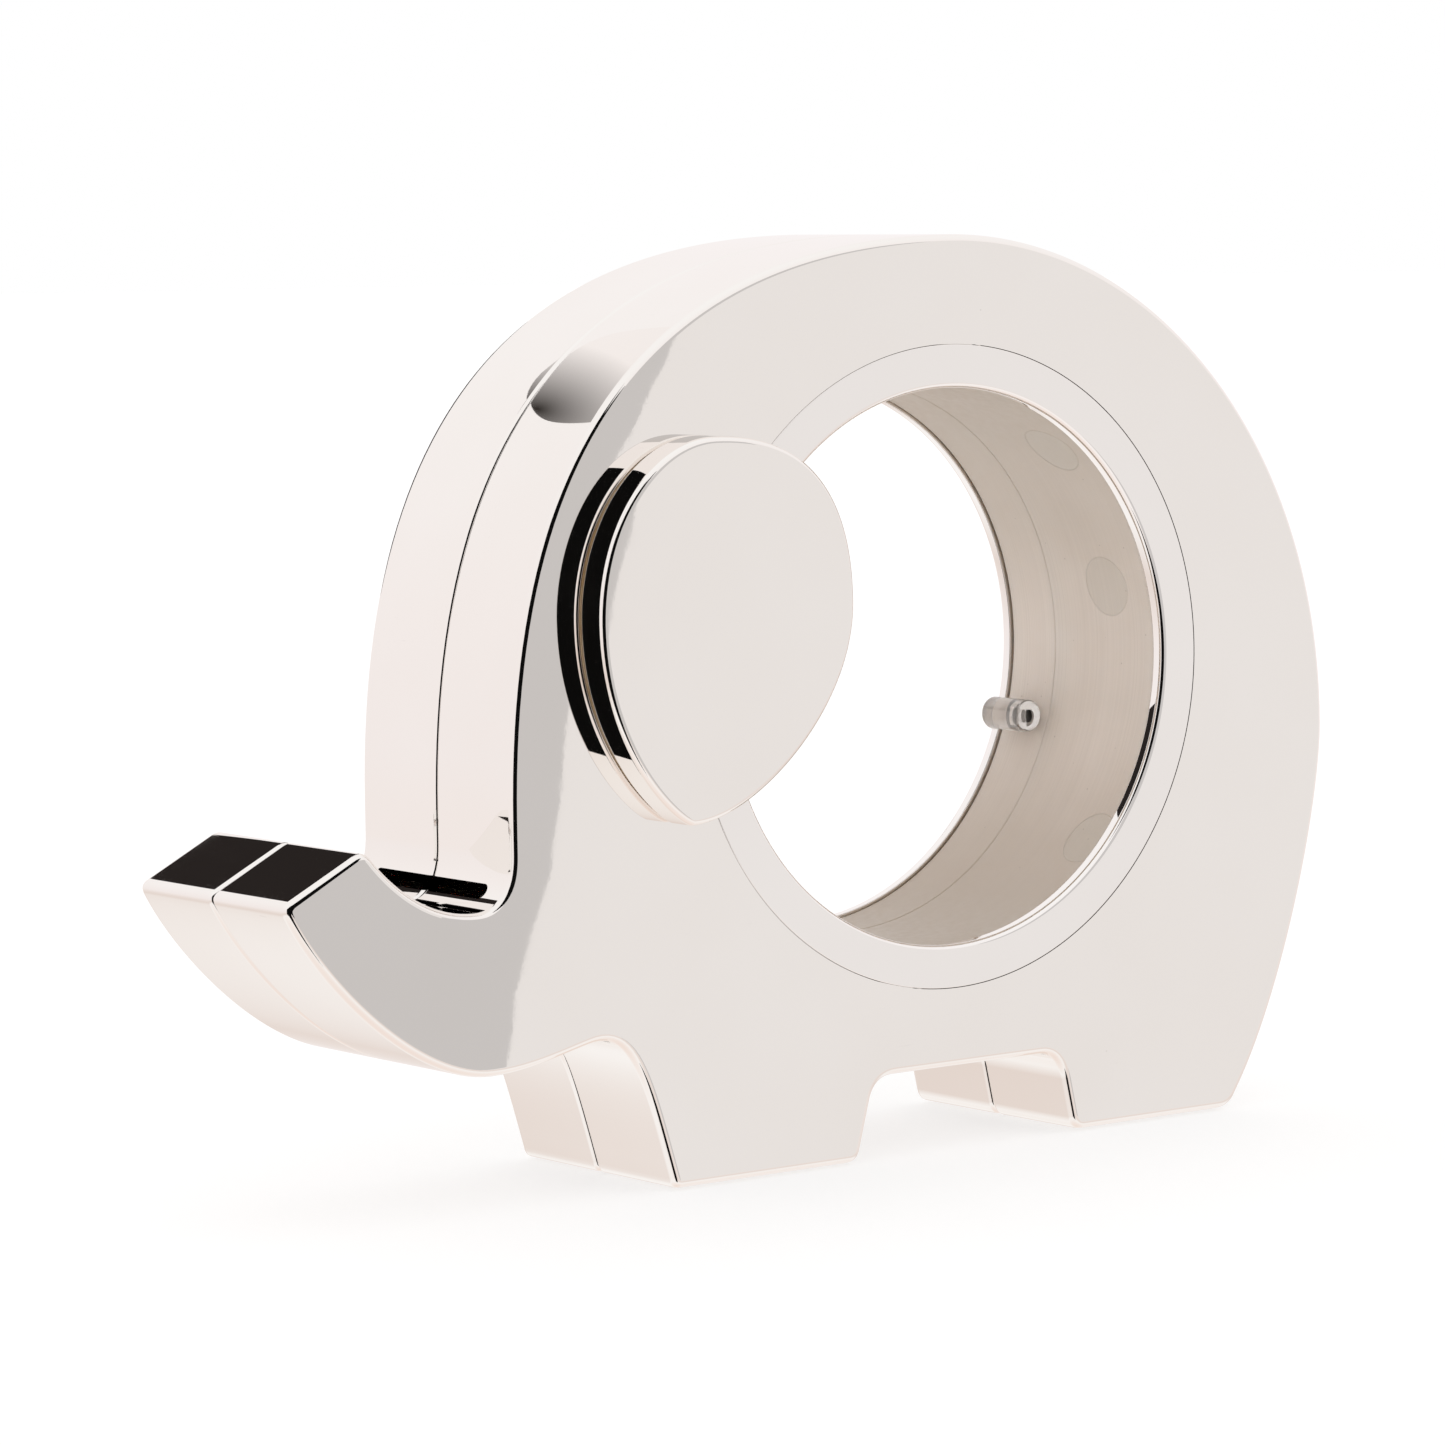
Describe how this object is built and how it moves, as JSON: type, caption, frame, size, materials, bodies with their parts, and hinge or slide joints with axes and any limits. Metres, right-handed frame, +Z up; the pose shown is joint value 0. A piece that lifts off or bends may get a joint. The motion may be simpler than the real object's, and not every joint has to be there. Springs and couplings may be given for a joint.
{
  "type": "tape dispenser",
  "caption": "Elephant-shaped desk tape dispenser: two plated half shells on a frosted spool hub round a through hole, with a trunk that carries the tape to a toothed edge.",
  "frame": {"origin": "middle of the object's footprint box, on the plane that its foot pads stand on", "axes": "+Z up, the trunk points to -X, +Y towards the elephant's right side"},
  "size_m": [0.1628, 0.0426, 0.1153],
  "materials": {
    "silver_plate": "mirror-polished silver plate",
    "silver_ring": "mirror-polished silver plate",
    "ear_shim": "cream adhesive shim",
    "steel": "satin stainless steel",
    "magnet": "nickel-plated magnet",
    "foot_pad": "matte translucent rubber",
    "frosted_plastic": "frosted translucent moulding",
    "clear_plastic": "clear moulded peg"
  },
  "bodies": {
    "right_half": {"right_shell": "silver_plate", "right_ring_plate": "silver_ring", "right_ear_plate": "silver_plate", "right_ear_shim": "ear_shim", "right_ear_upper_screw": "steel", "right_ear_lower_screw": "steel", "right_head_magnet": "magnet", "right_rear_magnet": "magnet", "right_leg_magnet": "magnet", "trunk_locating_pin": "steel", "brow_locating_pin": "steel", "rump_locating_pin": "steel", "tape_cutter_blade": "steel", "right_front_foot_pad": "foot_pad", "right_rear_foot_pad": "foot_pad"},
    "left_half": {"left_shell": "silver_plate", "left_ring_plate": "silver_ring", "left_ear_plate": "silver_plate", "left_ear_shim": "ear_shim", "left_ear_upper_screw": "steel", "left_ear_lower_screw": "steel", "left_head_magnet": "magnet", "left_rear_magnet": "magnet", "left_leg_magnet": "magnet", "left_front_foot_pad": "foot_pad", "left_rear_foot_pad": "foot_pad"},
    "hub": {"hub_long_sleeve": "frosted_plastic", "hub_short_sleeve": "frosted_plastic", "hub_finger_peg": "clear_plastic"}
  },
  "joints": [
    {"name": "left_half_pull", "type": "slide", "parent": "right_half", "child": "left_half", "axis": [0, -1, 0], "range_m": [0, 0.06]},
    {"name": "hub_spin", "type": "hinge", "parent": "right_half", "child": "hub", "pos_m": [0.0183, 0, 0.0612], "axis": [0, 1, 0], "continuous": true}
  ]
}
